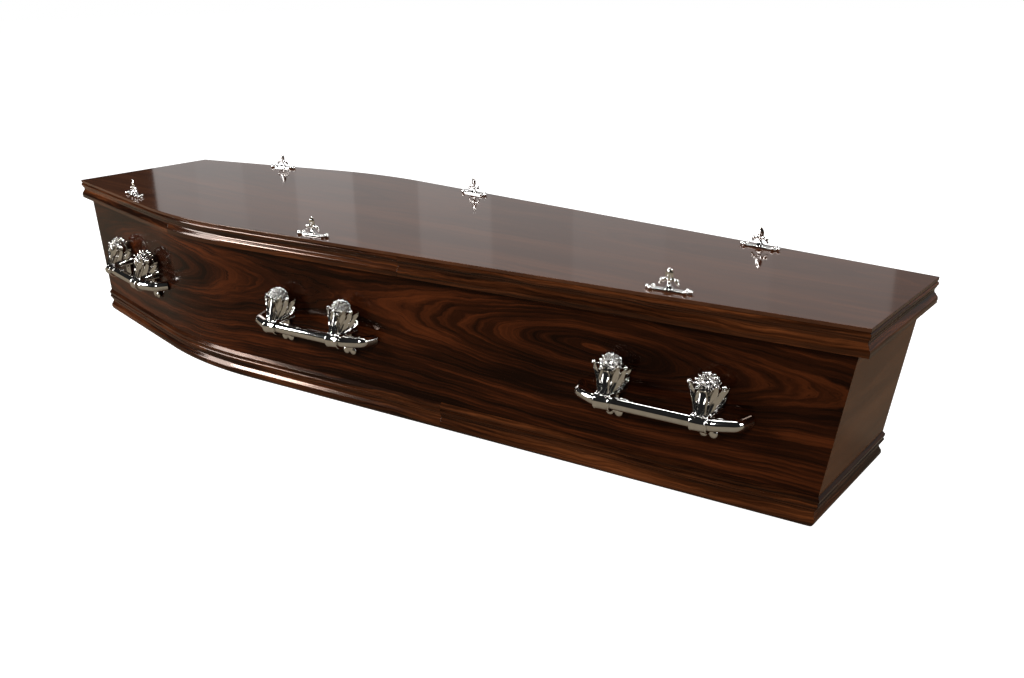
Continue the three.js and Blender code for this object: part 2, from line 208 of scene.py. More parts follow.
def mitred_end(section, end, raked):
    """The section run across one end and sawn at its two mitres."""
    bm = run_across_end(section, end, raked)
    point, facing = mitre(end, raked)
    for side in (1, -1):
        flip = Vector((1, side, 1))
        saw(bm, point * flip, -facing * flip)
    return bm


def square_cut(x):
    """The plane square to the left side's line at one place along it."""
    if x < arc_start.x:
        return HEAD_CORNER + head_run * ((x - HEAD_CORNER.x) / head_run.x), head_run
    if x > arc_end.x:
        return SHOULDER_CORNER + foot_run * ((x - SHOULDER_CORNER.x) / foot_run.x), foot_run
    angle = math.asin((x - arc_centre.x) / SHOULDER_RADIUS)
    out = Vector((math.sin(angle), math.cos(angle), 0))
    return arc_centre + out * SHOULDER_RADIUS, out.cross(UP)


def unbent(point):
    """A place on either side laid straight again: length along the side, offset out of it, height."""
    flat = Vector((point.x, abs(point.y), 0))
    if (flat - arc_start).dot(head_run) < 0:
        return (flat - arc_start).dot(head_run), (flat - arc_start).dot(UP.cross(head_run)), point.z
    if (flat - arc_end).dot(foot_run) > 0:
        beyond = (flat - arc_end).dot(foot_run)
        return beyond + SHOULDER_RADIUS * shoulder_turn, (flat - arc_end).dot(UP.cross(foot_run)), point.z
    spoke = flat - arc_centre
    angle = UP.cross(head_run).angle(spoke)
    return SHOULDER_RADIUS * angle, spoke.length - SHOULDER_RADIUS, point.z


def across(point):
    """A place on an end: length across it, offset along it, height."""
    return point.y, abs(point.x) - 1.0, point.z


def add_wood(bm, node, material, straight, shift, arris=0.0004):
    """Finishes a wooden piece: its grain place, its softened arrises and its place in the frame."""
    bmesh.ops.remove_doubles(bm, verts=bm.verts[:], dist=WELD)
    bmesh.ops.recalc_face_normals(bm, faces=bm.faces[:])
    layer = bm.verts.layers.float_vector.new("straight")
    for vert in bm.verts:
        vert[layer] = Vector(straight(vert.co)) + Vector(shift)
    mesh = bpy.data.meshes.new(node + "_wood")
    bm.to_mesh(mesh)
    bm.free()
    mesh.polygons.foreach_set("use_smooth", [True] * len(mesh.polygons))
    mesh.materials.append(material)
    piece = bpy.data.objects.new(node + "_wood", mesh)
    bpy.context.scene.collection.objects.link(piece)
    soften = piece.modifiers.new("arrises", "BEVEL")
    soften.width = arris
    soften.segments = 3
    soften.limit_method = "ANGLE"
    soften.angle_limit = math.radians(30)
    soften.harden_normals = True
    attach(piece, "root")
    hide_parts(node)


LOG_WINDING = 1.15
PITH_HEIGHT = 0.225
EARLY_WOOD = 0.75
FOIL_IOR = 1.5
FOIL_WARMTH = (1.0, 0.66, 0.5, 1.0)


def rosewood_figure():
    """Growth rings of a slightly winding log, cut by the board's face, with streaks and pores."""
    tree = bpy.data.node_groups.new("rosewood figure", "ShaderNodeTree")
    for name in ("Place", "Arch", "Rings", "Dark", "Middle", "Light"):
        kind = {"Place": "Vector", "Arch": "Float", "Rings": "Float"}.get(name, "Color")
        tree.interface.new_socket(name, in_out="INPUT", socket_type="NodeSocket" + kind)
    tree.interface.new_socket("Color", in_out="OUTPUT", socket_type="NodeSocketColor")
    tree.interface.new_socket("Height", in_out="OUTPUT", socket_type="NodeSocketFloat")
    given = tree.nodes.new("NodeGroupInput").outputs
    shown = tree.nodes.new("NodeGroupOutput").inputs
    parts = add_node(tree, "SeparateXYZ", {"Vector": given["Place"]}).outputs

    def noise(place, along, deep, high, scale, detail, rough=0.5):
        stretch = add_node(tree, "Mapping", {"Vector": place, "Scale": (along, deep, high)})
        settings = {"Vector": stretch.outputs[0], "Scale": scale, "Detail": detail, "Roughness": rough}
        return add_node(tree, "TexNoise", settings).outputs["Fac"]

    def centred(amount, size):
        return calculate(tree, "MULTIPLY", calculate(tree, "SUBTRACT", amount, 0.5), size)

    wind = calculate(tree, "SINE", calculate(tree, "MULTIPLY", parts["X"], math.pi / LOG_WINDING))
    depth = calculate(tree, "MULTIPLY", wind, given["Arch"])
    depth = calculate(tree, "ADD", depth, centred(noise(given["Place"], 1, 1, 1, 1.3, 1.0), 0.03))
    height = calculate(tree, "SUBTRACT", parts["Z"], PITH_HEIGHT)
    height = calculate(tree, "ADD", height, centred(noise(given["Place"], 1, 1, 1.5, 2.0, 2.0), 0.05))
    ring = calculate(tree, "SQRT", calculate(tree, "ADD", calculate(tree, "MULTIPLY", depth, depth),
                                             calculate(tree, "MULTIPLY", height, height)))
    ring = calculate(tree, "ADD", ring, centred(noise(given["Place"], 3, 3, 9, 4.0, 3.0), 0.011))
    grown = add_node(tree, "CombineXYZ", {"X": parts["X"], "Y": ring, "Z": parts["Y"]}).outputs[0]
    phase = calculate(tree, "FRACT", calculate(tree, "MULTIPLY", ring, given["Rings"]))
    early = add_node(tree, "MapRange", {"Value": phase, "From Max": EARLY_WOOD}).outputs[0]
    late = add_node(tree, "MapRange", {"Value": phase, "From Min": EARLY_WOOD, "From Max": 1.0,
                                       "To Min": 1.0, "To Max": 0.0}).outputs[0]
    band = calculate(tree, "MULTIPLY", early, late)
    band = calculate(tree, "MULTIPLY", band, noise(given["Place"], 2, 4, 9, 3.0, 2.0))
    streak = noise(grown, 0.9, 26, 10, 2.2, 6.0, 0.66)
    cloud = noise(given["Place"], 1.2, 3, 5, 1.7, 3.0)
    fibre = noise(grown, 5.0, 240, 120, 4.0, 3.0, 0.6)
    tone = calculate(tree, "MULTIPLY", band, 0.36)
    tone = calculate(tree, "ADD", tone, centred(streak, 2.3))
    tone = calculate(tree, "ADD", tone, centred(cloud, 0.9))
    tone = calculate(tree, "ADD", tone, centred(fibre, 0.5))
    tone = calculate(tree, "ADD", tone, 0.25)
    share = add_node(tree, "MapRange", {"Value": tone, "From Min": 0.08, "From Max": 0.45}).outputs[0]
    low = add_node(tree, "Mix", {"Factor": share, 6: given["Dark"], 7: given["Middle"]}, data_type="RGBA")
    share = add_node(tree, "MapRange", {"Value": tone, "From Min": 0.42, "From Max": 0.95}).outputs[0]
    high = add_node(tree, "Mix", {"Factor": share, 6: low.outputs[2], 7: given["Light"]}, data_type="RGBA")
    pore = noise(grown, 18.0, 700, 300, 2.5, 2.0, 0.6)
    open_pore = add_node(tree, "MapRange", {"Value": pore, "From Min": 0.28, "From Max": 0.36,
                                            "To Min": 0.5, "To Max": 1.0}).outputs[0]
    shaded = add_node(tree, "Mix", {"Factor": 1.0, 6: high.outputs[2], 7: open_pore},
                      data_type="RGBA", blend_type="MULTIPLY")
    tree.links.new(shaded.outputs[2], shown["Color"])
    pressed = calculate(tree, "MULTIPLY_ADD", fibre, 0.5, open_pore)
    tree.links.new(pressed, shown["Height"])
    return tree


figure = rosewood_figure()


def rosewood(name, arch, rings, tones, roughness, relief, lustre=0.5):
    """Gloss rosewood foil with its own arch, ring count, three tones, gloss and pressed grain."""
    material, tree, skin = new_material(name)
    place = add_node(tree, "Attribute", attribute_name="straight").outputs["Vector"]
    wood = add_node(tree, "Group", node_tree=figure)
    tree.links.new(place, wood.inputs["Place"])
    wood.inputs["Arch"].default_value = arch
    wood.inputs["Rings"].default_value = rings
    for socket, tone in zip(("Dark", "Middle", "Light"), tones):
        wood.inputs[socket].default_value = (*tone, 1.0)
    tree.links.new(wood.outputs["Color"], skin.inputs["Base Color"])
    pressed = wood.outputs["Height"]
    grain = add_node(tree, "Bump", {"Height": pressed, "Strength": relief, "Distance": 0.0002})
    tree.links.new(grain.outputs["Normal"], skin.inputs["Normal"])
    skin.inputs["Roughness"].default_value = roughness
    skin.inputs["IOR"].default_value = FOIL_IOR
    skin.inputs["Specular IOR Level"].default_value = lustre
    skin.inputs["Specular Tint"].default_value = FOIL_WARMTH
    return material


MOULDING_TONES = ((0.009, 0.0028, 0.0012), (0.044, 0.0122, 0.0036), (0.15, 0.043, 0.0125))
moulding_foil = rosewood("moulding foil", 0.02, 150.0, MOULDING_TONES, 0.11, 0.06, lustre=0.3)

SIDES = (("left", 1), ("right", -1))
ENDS = (("head", -1), ("foot", 1))
NEXT_CUT = Vector((1.7, 0, 0.31))


def bead_cove_round(out, top):
    """The moulding's face below its lip, from the lip's own place."""
    return [((out - 0.0026, top - 0.0113), (0.003, 0.004), (80, -65), 12),
            ((out + 0.0002, top - 0.0226), (-0.0043, 0.0056), (55, -55), 10)]


def add_mouldings(prefix, section, joints, raked):
    """Six side lengths and two end lengths of one moulding, sawn at the joints and mitres."""
    head_mitre, foot_mitre = mitre(-1, raked), mitre(1, raked)
    cuts = [head_mitre, *(square_cut(x) for x in joints), foot_mitre]
    number = 0
    for side_name, side in SIDES:
        for i, part in enumerate(("head", "shoulder", "foot")):
            bm = run_along_side(section)
            start, facing = cuts[i]
            saw(bm, start, facing if i == 0 else -facing)
            saw(bm, *cuts[i + 1])
            bmesh.ops.scale(bm, vec=(1, side, 1), verts=bm.verts[:])
            number += 1
            shift = NEXT_CUT * number
            add_wood(bm, f"{prefix}_{side_name}_{part}", moulding_foil, unbent, shift)
    for end_name, end in ENDS:
        bm = mitred_end(section, end, raked)
        number += 1
        shift = NEXT_CUT * number
        add_wood(bm, f"{prefix}_{end_name}_end", moulding_foil, across, shift)


BASE_LIP_OUT = -0.0135
BASE_LIP_TOP = 0.0512
PANEL_FOOT = 0.057
base_section = [
    (PANEL_BACK, PANEL_FOOT),
    (PANEL_FACE, PANEL_FOOT),
    (BASE_LIP_OUT, BASE_LIP_TOP),
    (BASE_LIP_OUT - 0.0006, BASE_LIP_TOP - 0.006),
    (BASE_LIP_OUT - 0.0023, BASE_LIP_TOP - 0.0067),
    *bead_cove_round(BASE_LIP_OUT, BASE_LIP_TOP),
    ((BASE_LIP_OUT - 0.0066, BASE_LIP_TOP - 0.037), (0.008, 0.010), (48, 0), 10),
    ((BASE_LIP_OUT - 0.0156, BASE_LIP_TOP - 0.037), (0.017, 0.0142), (-6, -90), 14),
    (PANEL_BACK, 0.0),
]
BASE_JOINTS = (-0.400, 0.248)
add_mouldings("base_moulding", base_section, BASE_JOINTS, True)


# Body panels
# The two sides are long fibreboard panels faced with figured gloss rosewood foil, kerfed and bent at the
# shoulder. The two ends are short panels that lean out towards the lid, mitred and glued to the sides.

PANEL_TONES = ((0.0055, 0.0017, 0.0008), (0.024, 0.0058, 0.0019), (0.088, 0.0205, 0.0055))
END_TONES = ((0.075, 0.026, 0.0095), (0.105, 0.038, 0.014), (0.14, 0.052, 0.019))
panel_foil = rosewood("side panel foil", 0.066, 165.0, PANEL_TONES, 0.13, 0.05, lustre=0.12)
end_foil = rosewood("end panel foil", 0.03, 120.0, END_TONES, 0.13, 0.05, lustre=0.08)
PANEL_LOW = 0.0573
PANEL_HIGH = 0.3237
panel_section = [(PANEL_BACK, PANEL_LOW), (PANEL_FACE, PANEL_LOW), (PANEL_FACE, PANEL_HIGH),
                 (PANEL_BACK, PANEL_HIGH)]
SIDE_SHIFT = {"left": (2.1, 0, 0.01), "right": (-1.127, 0, 0)}

for side_name, side in SIDES:
    bm = run_along_side(panel_section)
    saw(bm, *mitre(-1, True))
    saw(bm, *mitre(1, True))
    bmesh.ops.scale(bm, vec=(1, side, 1), verts=bm.verts[:])
    add_wood(bm, f"side_panel_{side_name}", panel_foil, unbent, SIDE_SHIFT[side_name])
for end_name, end in ENDS:
    bm = mitred_end(panel_section, end, True)
    add_wood(bm, f"end_panel_{end_name}", end_foil, across, (3.3 * end, 0, 0.02))


# Lid board
# One flat board faced with gloss rosewood foil, sawn to the coffin's plan and rebated below, so that it
# drops into the lid moulding and a thin lip of it lies on top. It is glued to that moulding.

LID_TOP = 0.340
LIP_DEPTH = 0.0064
LIP_SLANT = 0.0006
REBATE_OUT = -0.0088
LID_DEPTH = 0.016
LID_TONES = ((0.042, 0.0145, 0.0066), (0.062, 0.0215, 0.0093), (0.090, 0.031, 0.0128))
lid_foil = rosewood("lid foil", 0.066, 130.0, LID_TONES, 0.07, 0.05)


def lengthwise(point):
    return point.x, point.z, point.y


bm = bmesh.new()
bm.verts.new(HEAD_CORNER)
start = bm.verts.new(arc_start)
bmesh.ops.spin(bm, geom=[start], cent=arc_centre, axis=UP, angle=-shoulder_turn, steps=SHOULDER_STEPS)
bm.verts.new(FOOT_CORNER)
near = bm.verts[:]
bm.edges.new((near[0], near[1]))
bm.edges.new((near[-2], near[-1]))
bmesh.ops.mirror(bm, geom=bm.verts[:] + bm.edges[:], matrix=Matrix.Identity(4), merge_dist=-1, axis="Y")
for x in (HEAD_CORNER.x, FOOT_CORNER.x):
    bm.edges.new([v for v in bm.verts if abs(v.co.x - x) < 1e-6])
top = bmesh.ops.contextual_create(bm, geom=bm.edges[:])["faces"][0]
bmesh.ops.translate(bm, vec=(0, 0, LID_TOP), verts=bm.verts[:])
below = bmesh.ops.duplicate(bm, geom=[top])["geom"]
under = only(bmesh.types.BMFace, below)[0]
top.normal_update()
under.normal_update()
if under.normal.z > 0:
    under.normal_flip()
if top.normal.z < 0:
    top.normal_flip()
bmesh.ops.inset_region(bm, faces=[under], thickness=LIP_SLANT, depth=LIP_DEPTH,
                       use_boundary=True, use_even_offset=True)
bmesh.ops.inset_region(bm, faces=[under], thickness=-REBATE_OUT - LIP_SLANT, depth=0,
                       use_boundary=True, use_even_offset=True)
sunk = bmesh.ops.extrude_face_region(bm, geom=[under])["geom"]
bmesh.ops.delete(bm, geom=[under], context="FACES_ONLY")
bmesh.ops.translate(bm, vec=(0, 0, LIP_DEPTH - LID_DEPTH), verts=only(bmesh.types.BMVert, sunk))
add_wood(bm, "lid_board", lid_foil, lengthwise, (0.4, 0, 0.13), arris=0.0009)


# Lid moulding
# The same bead, cove and round as the base, run shallower and wrapped in the same foil. It hangs from the
# lid board's rebate and closes over the top of the panels, with a dark shadow gap behind its lower arris.

MOULDING_TOP = LID_TOP - LIP_DEPTH - 0.0002
MOULDING_BACK = -0.0085
LID_JOINTS = (-0.473, 0.175)
lid_section = [
    (MOULDING_BACK, MOULDING_TOP),
    (-0.0023, MOULDING_TOP),
    *bead_cove_round(0.0, LID_TOP),
    ((-0.0066, LID_TOP - 0.037), (0.008, 0.010), (48, -20), 12),
    (0.0009, RIM_HEIGHT),
    (MOULDING_BACK, RIM_HEIGHT),
]
add_mouldings("lid_moulding", lid_section, LID_JOINTS, False)


# Handle bars
# Each bar is a round plated tube. Its two ends sweep back and then turn in to the panel, where studs from
# inside the coffin hold them.

def bright_plating():
    """Bright plate over a casting, a little uneven in tone and polish."""
    material, tree, skin = new_material("bright plating")
    place = add_node(tree, "TexCoord").outputs["Object"]
    haze = add_node(tree, "TexNoise", {"Vector": place, "Scale": 90.0, "Detail": 3.0}).outputs["Fac"]
    tone = colour_steps(tree, haze, [(0.3, (0.76, 0.745, 0.72)), (0.7, (0.88, 0.87, 0.86))])
    tree.links.new(tone, skin.inputs["Base Color"])
    gloss = add_node(tree, "MapRange", {"Value": haze, "To Min": 0.03, "To Max": 0.09}).outputs[0]
    tree.links.new(gloss, skin.inputs["Roughness"])
    ripple = add_node(tree, "TexNoise", {"Vector": place, "Scale": 160.0, "Detail": 2.0}).outputs["Fac"]
    cast = add_node(tree, "Bump", {"Height": ripple, "Strength": 0.08, "Distance": 0.0004})
    tree.links.new(cast.outputs["Normal"], skin.inputs["Normal"])
    skin.inputs["Metallic"].default_value = 1.0
    return material


plating = bright_plating()
HANDLE_X = {"head": -0.697, "middle": -0.046, "foot": 0.690}
HANDLE_HEIGHT = 0.156
BAR_RADIUS = 0.011
BAR_OUT = 0.043
BAR_SIDES = 32
BAR_END = [(0.090, 0.043), (0.0975, 0.0425), (0.104, 0.0408), (0.1300, 0.0290), (0.1325, 0.0274),
           (0.1346, 0.0253), (0.1362, 0.0228), (0.1373, 0.0200), (0.1443, 0.0004)]


def stand(x, side, out, height):
    """The place of a fitting: X along the side, Y out of it, and the origin on the side's face."""
    point, along = square_cut(x)
    normal = UP.cross(along)
    point = point + normal * out
    turn = math.atan2(side * normal.y, normal.x) - math.pi / 2
    return Matrix.Translation((point.x, side * point.y, height)) @ Matrix.Rotation(turn, 4, "Z")


def fitting_mesh(bm, name, crease):
    """A plated mesh, smooth but for edges past the crease angle."""
    bmesh.ops.recalc_face_normals(bm, faces=bm.faces[:])
    mesh = bpy.data.meshes.new(name)
    bm.to_mesh(mesh)
    bm.free()
    mesh.polygons.foreach_set("use_smooth", [True] * len(mesh.polygons))
    mesh.set_sharp_from_angle(angle=math.radians(crease))
    mesh.materials.append(plating)
    return mesh


def add_fitting(mesh, node, place):
    """One plated fitting, moved to its place in its own mesh."""
    own = mesh.copy()
    own.transform(place)
    piece = bpy.data.objects.new(node + "_plated", own)
    bpy.context.scene.collection.objects.link(piece)
    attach(piece, "root")
    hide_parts(node)


def bent_bar():
    """A round tube run along its bent line, one ring at each point."""
    line = [Vector((-x, y, 0)) for x, y in reversed(BAR_END)] + [Vector((x, y, 0)) for x, y in BAR_END]
    legs = [(b - a).normalized() for a, b in zip(line, line[1:])]
    ways = [legs[0]] + [(a + b).normalized() for a, b in zip(legs, legs[1:])] + [legs[-1]]
    bm = bmesh.new()
    upright = Matrix.Rotation(math.pi / 2, 4, "Y")
    heading = Matrix.Rotation(math.atan2(ways[0].y, ways[0].x), 4, "Z")
    first = Matrix.Translation(line[0]) @ heading @ upright
    bmesh.ops.create_circle(bm, cap_ends=False, segments=BAR_SIDES, radius=BAR_RADIUS, matrix=first)
    ring = bm.edges[:]
    for a, b, before, after in zip(line, line[1:], ways, ways[1:]):
        grown = bmesh.ops.extrude_edge_only(bm, edges=ring)["geom"]
        moved = only(bmesh.types.BMVert, grown)
        ring = [e for e in only(bmesh.types.BMEdge, grown) if all(v in moved for v in e.verts)]
        bmesh.ops.translate(bm, vec=b - a, verts=moved)
        turn = math.atan2(after.y, after.x) - math.atan2(before.y, before.x)
        bmesh.ops.rotate(bm, cent=b, matrix=Matrix.Rotation(turn, 3, "Z"), verts=moved)
    bmesh.ops.holes_fill(bm, edges=[e for e in bm.edges if e.is_boundary], sides=0)
    return fitting_mesh(bm, "bar", 50)


bar_mesh = bent_bar()
for side_name, side in SIDES:
    for place_name, x in HANDLE_X.items():
        place = stand(x, side, PANEL_FACE, HANDLE_HEIGHT)
        add_fitting(bar_mesh, f"handle_{side_name}_{place_name}_bar", place)


# Handle brackets
# Each bracket is one plated casting: a plain collar round the bar, a sheaf of leaves and stems that rises
# from it and spreads back to the panel, a flower head of small ruffled petals on top, and two lobes below.

BRACKET_HALF_SPACING = 0.0825
COLLAR_RADIUS = 0.0148
COLLAR_HALF = 0.0145
COLLAR_BORE = BAR_RADIUS + 0.0003
RIM_BEAD = ((0.0009, 0.0016), (-80, 80), 6)
LEAF_THICKNESS = 0.0014
LEAF_RIB = 0.0012
PETALS = 40
PETAL_SIZE = Vector((0.0034, 0.0022, 0.0060))
PETAL_TWIST = 1.9
FLOWER_CENTRE = Vector((0, 0.020, 0.0555))
FLOWER_RADIUS = 0.0160
GOLDEN_TURN = math.pi * (3 - math.sqrt(5))


def aimed(base, tip, facing):
    """A frame at base with Z towards tip and Y as near to facing as it can be."""
    along = (tip - base).normalized()
    across = facing.cross(along).normalized() * -1
    out = along.cross(across)
    frame_at = Matrix((across, out, along)).transposed().to_4x4()
    frame_at.translation = base
    return frame_at


def add_leaf(bm, base, tip, facing, half, bow, cup):
    """A pointed leaf with a raised rib, from base to tip, bowed along its length and cupped across."""
    base, tip, facing = Vector(base), Vector(tip), Vector(facing)
    length = (tip - base).length
    grid = bmesh.ops.create_grid(bm, x_segments=6, y_segments=10, size=0.5)["verts"]
    for vert in grid:
        share, side = vert.co.y + 0.5, vert.co.x * 2
        swell = 0.42 + 0.58 * math.sin(math.pi * min(share * 0.75 + 0.1, 1.0))
        width = half * swell * (1 - share ** 5) ** 0.5
        rib = LEAF_RIB * (1 - abs(side)) ** 3
        rise = bow * math.sin(math.pi * share) - cup * side * side + rib
        vert.co = (side * width, rise, share * length)
    faces = list({face for vert in grid for face in vert.link_faces})
    solid = bmesh.ops.solidify(bm, geom=faces, thickness=LEAF_THICKNESS)
    leaf = set(grid) | set(only(bmesh.types.BMVert, solid["geom"]))
    bmesh.ops.transform(bm, matrix=aimed(base, tip, facing), verts=list(leaf))


def add_stem(bm, base, tip, thick, thin):
    """A tapered round stem."""
    base, tip = Vector(base), Vector(tip)
    place = aimed(base, tip, Vector((0, 0.3, 1))) @ Matrix.Translation((0, 0, (tip - base).length / 2))
    bmesh.ops.create_cone(bm, cap_ends=True, segments=10, radius1=thick, radius2=thin,
                          depth=(tip - base).length, matrix=place)


def add_ball(bm, centre, radii, segments=14):
    place = Matrix.Translation(centre) @ Matrix.Diagonal((*radii, 1))
    bmesh.ops.create_uvsphere(bm, u_segments=segments, v_segments=segments // 2 + 1, radius=1, matrix=place)


def collar(bm):
    """The plain ring round the bar, with a small bead at each rim."""
    ring = bmesh.new()
    draw_section(ring, [(COLLAR_BORE, -COLLAR_HALF), (COLLAR_RADIUS, -COLLAR_HALF),
                        ((COLLAR_RADIUS, 0.0018 - COLLAR_HALF), *RIM_BEAD),
                        (COLLAR_RADIUS, 0.0038 - COLLAR_HALF), (COLLAR_RADIUS, COLLAR_HALF - 0.0038),
                        ((COLLAR_RADIUS, COLLAR_HALF - 0.0018), *RIM_BEAD),
                        (COLLAR_RADIUS, COLLAR_HALF), (COLLAR_BORE, COLLAR_HALF)])
    bmesh.ops.spin(ring, geom=ring.verts[:] + ring.edges[:], cent=(0, 0, 0), axis=UP,
                   angle=2 * math.pi, steps=40, use_merge=True)
    bmesh.ops.remove_doubles(ring, verts=ring.verts[:], dist=WELD)
    turned = Matrix.Translation((0, BAR_OUT, 0)) @ Matrix.Rotation(math.pi / 2, 4, "Y")
    bmesh.ops.transform(ring, matrix=turned, verts=ring.verts[:])
    mesh = bpy.data.meshes.new("collar")
    ring.to_mesh(mesh)
    ring.free()
    bm.from_mesh(mesh)
    bpy.data.meshes.remove(mesh)


def posy_bracket():
    """The whole casting: collar, sheaf of leaves and stems, lobes and flower head."""
    bm = bmesh.new()
    collar(bm)
    bmesh.ops.create_cone(bm, cap_ends=True, segments=24, radius1=0.0125, radius2=0.0185, depth=0.040,
                          matrix=Matrix.Translation((0, 0.024, 0.031)) @ Matrix.Diagonal((1, 0.9, 1, 1)))
    add_stem(bm, (0, 0.040, 0.013), (0, 0.026, 0.050), 0.011, 0.014)
    add_leaf(bm, (0, 0.0505, 0.0115), (0, 0.037, 0.060), (0, 1, 0.25), 0.0105, 0.0035, 0.0042)
    for side in (-1, 1):
        add_leaf(bm, (side * 0.006, 0.047, 0.0115), (side * 0.0205, 0.035, 0.062),
                 (side * 0.75, 0.75, 0.1), 0.0085, 0.003, 0.003)
        add_leaf(bm, (side * 0.010, 0.041, 0.0105), (side * 0.0300, 0.026, 0.058),
                 (side, 0.35, 0), 0.0082, 0.0035, 0.0028)
        add_leaf(bm, (side * 0.010, 0.034, 0.010), (side * 0.0285, 0.004, 0.0505),
                 (side, 0.2, -0.2), 0.0075, 0.003, 0.0024)
        add_leaf(bm, (side * 0.011, 0.034, 0.009), (side * 0.0255, 0.003, 0.0335),
                 (side * 0.6, 0.3, 0.6), 0.0048, 0.0012, 0.0012)
        add_stem(bm, (side * 0.0115, 0.037, 0.008), (side * 0.0205, 0.0025, 0.012), 0.0023, 0.0029)
        add_stem(bm, (side * 0.0105, 0.037, 0.011), (side * 0.0215, 0.0025, 0.0235), 0.0020, 0.0026)
        add_ball(bm, (side * 0.0285, 0.024, 0.0555), (0.0042, 0.0042, 0.0052))
        add_ball(bm, (side * 0.0080, 0.0045, -0.0330), (0.0082, 0.0042, 0.0082))
        add_stem(bm, (side * 0.0060, 0.0050, -0.030), (side * 0.0025, 0.0050, 0.010), 0.0045, 0.006)
    add_ball(bm, (0, 0.0052, -0.026), (0.0055, 0.0045, 0.010))
    add_ball(bm, FLOWER_CENTRE, (FLOWER_RADIUS * 0.86, FLOWER_RADIUS * 0.8, FLOWER_RADIUS * 0.86), 20)
    for number in range(PETALS):
        level = 1 - 1.25 * (number + 0.5) / PETALS
        reach = math.sqrt(1 - level * level)
        angle = GOLDEN_TURN * number
        way = Vector((reach * math.cos(angle), reach * math.sin(angle), level))
        centre = FLOWER_CENTRE + Vector((way.x, way.y * 0.94, way.z)) * FLOWER_RADIUS
        if centre.y > PETAL_SIZE.z:
            outward = way.to_track_quat("Z", "Y").to_matrix().to_4x4()
            turned = outward @ Matrix.Rotation(PETAL_TWIST * number, 4, "Z")
            place = Matrix.Translation(centre) @ turned @ Matrix.Diagonal((*PETAL_SIZE, 1))
            bmesh.ops.create_icosphere(bm, subdivisions=2, radius=1, matrix=place)
    return fitting_mesh(bm, "bracket", 55)


bracket_mesh = posy_bracket()
for side_name, side in SIDES:
    for place_name, x in HANDLE_X.items():
        place = stand(x, side, PANEL_FACE, HANDLE_HEIGHT)
        for letter, way in (("a", -1), ("b", 1)):
            along = Matrix.Translation((way * BRACKET_HALF_SPACING, 0, 0))
            add_fitting(bracket_mesh, f"handle_{side_name}_{place_name}_bracket_{letter}", place @ along)


# Lid screw plates
# Each screw stands on a small plated casting: a long domed plate with three knobs at each end. It lies on
# the lid over the middle of the wall, and the screw through it holds it down.

SCREW_X = {"head": -0.706, "middle": -0.048, "foot": 0.690}
SCREW_INSET = -0.026
PLATE_LIFT = 0.0003
PLATE_SIZE = Vector((0.062, 0.0125, 0.0036))
KNOB_HEIGHT = 0.0037
bm = bmesh.new()
bmesh.ops.create_cube(bm, size=1, matrix=Matrix.Translation((0, 0, PLATE_SIZE.z / 2 + PLATE_LIFT))
                      @ Matrix.Diagonal((*PLATE_SIZE, 1)))
tops = [e for e in bm.edges if all(v.co.z > 0.003 for v in e.verts)]
bmesh.ops.bevel(bm, geom=tops, offset=0.0028, offset_type="OFFSET", segments=5, profile=0.5,
                affect="EDGES", material=-1)
for end in (-1, 1):
    add_ball(bm, (end * 0.0368, 0, KNOB_HEIGHT), (0.0042, 0.0042, 0.0034))
    add_ball(bm, (end * 0.0330, 0, 0.0020), (0.0045, 0.0030, 0.0017))
    for side in (-1, 1):
        add_ball(bm, (end * 0.0290, side * 0.0066, KNOB_HEIGHT), (0.0042, 0.0040, 0.0034))
plate_mesh = fitting_mesh(bm, "plate", 40)
for side_name, side in SIDES:
    for place_name, x in SCREW_X.items():
        place = stand(x, side, SCREW_INSET, LID_TOP)
        add_fitting(plate_mesh, f"lid_screw_{side_name}_{place_name}_plate", place)


# Lid thumb screws
# Each screw ends in a plated fleur to turn it by: a pointed leaf, two drooping arms with ball tips, and a
# slim neck on a flared foot. Its thread goes down through the lid and is not seen.

bm = bmesh.new()
draw_section(bm, [(0.0, 0.0042), (0.0085, 0.0042), (0.0082, 0.0056), (0.0052, 0.0078), (0.0036, 0.0105),
                  (0.0030, 0.0135), (0.0, 0.0135)])
bmesh.ops.spin(bm, geom=bm.verts[:] + bm.edges[:], cent=(0, 0, 0), axis=UP, angle=2 * math.pi, steps=24,
               use_merge=True)
bmesh.ops.remove_doubles(bm, verts=bm.verts[:], dist=WELD)
add_ball(bm, (0, 0, 0.0145), (0.0034, 0.0030, 0.0028))
add_stem(bm, (0, 0, 0.013), (0, 0, 0.026), 0.0024, 0.0030)
for face in (-1, 1):
    add_leaf(bm, (0, face * 0.0008, 0.0175), (0, face * 0.0003, 0.0372), (0, face, 0),
             0.0068, 0.0014, 0.0006)
for side in (-1, 1):
    add_ball(bm, (side * 0.0065, 0, 0.0188), (0.0062, 0.0022, 0.0030))
    add_ball(bm, (side * 0.0122, 0, 0.0172), (0.0046, 0.0024, 0.0040))
    add_stem(bm, (side * 0.0125, 0, 0.0165), (side * 0.0158, 0, 0.0118), 0.0030, 0.0018)
    add_ball(bm, (side * 0.0152, 0, 0.0120), (0.0022, 0.0022, 0.0022))
add_ball(bm, (0, 0, 0.0365), (0.0019, 0.0019, 0.0016))
thumb_mesh = fitting_mesh(bm, "thumb", 50)
for side_name, side in SIDES:
    for place_name, x in SCREW_X.items():
        place = stand(x, side, SCREW_INSET, LID_TOP)
        add_fitting(thumb_mesh, f"lid_screw_{side_name}_{place_name}_thumb", place)


# Floor, lights and camera
# A plain pale floor, a broad softly folded backdrop with a dimmer wall beside it, soft boxes overhead, at
# the left, right and front, and a camera at the photograph's place.

